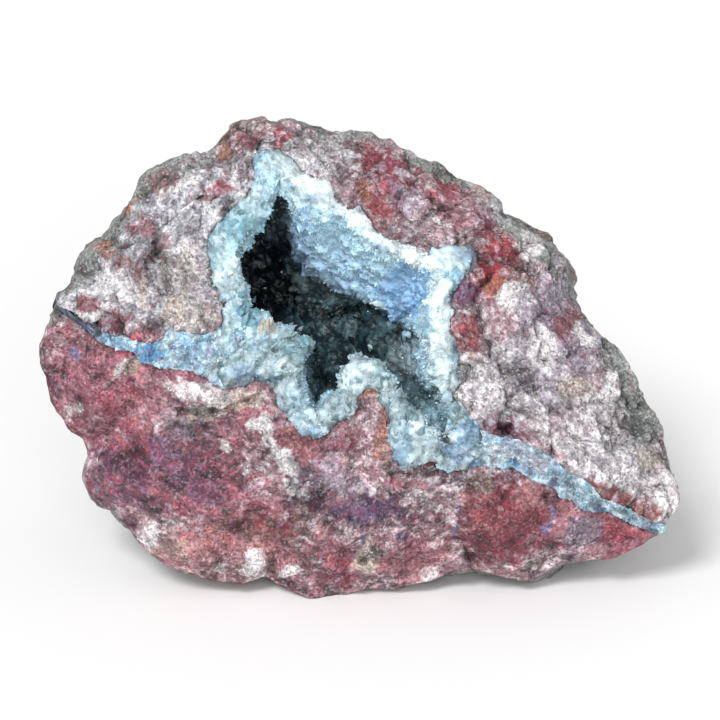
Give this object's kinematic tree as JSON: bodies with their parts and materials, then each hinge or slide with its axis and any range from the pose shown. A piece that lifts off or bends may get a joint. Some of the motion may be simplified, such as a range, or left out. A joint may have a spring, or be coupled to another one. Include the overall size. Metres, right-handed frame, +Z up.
{
  "type": "geode half",
  "caption": "Half of a rough nodular geode: host rock with a broken face, an open hollow lined with blue and white crystals, and two pale veins running out of it.",
  "frame": {"origin": "middle of the bottom of the bounding box, on the surface the stone stands on", "axes": "+X to the right along the stone's length, -Y out in front of the open face, +Z up"},
  "size_m": [0.1497, 0.0892, 0.1054],
  "materials": {
    "host_rock": "rough broken rock in reds, pinks and greys",
    "crystal_crust": "glassy pale blue and white crystals"
  },
  "bodies": {
    "root": {"host_rock": "host_rock", "crystal_crust": "crystal_crust"}
  },
  "joints": []
}
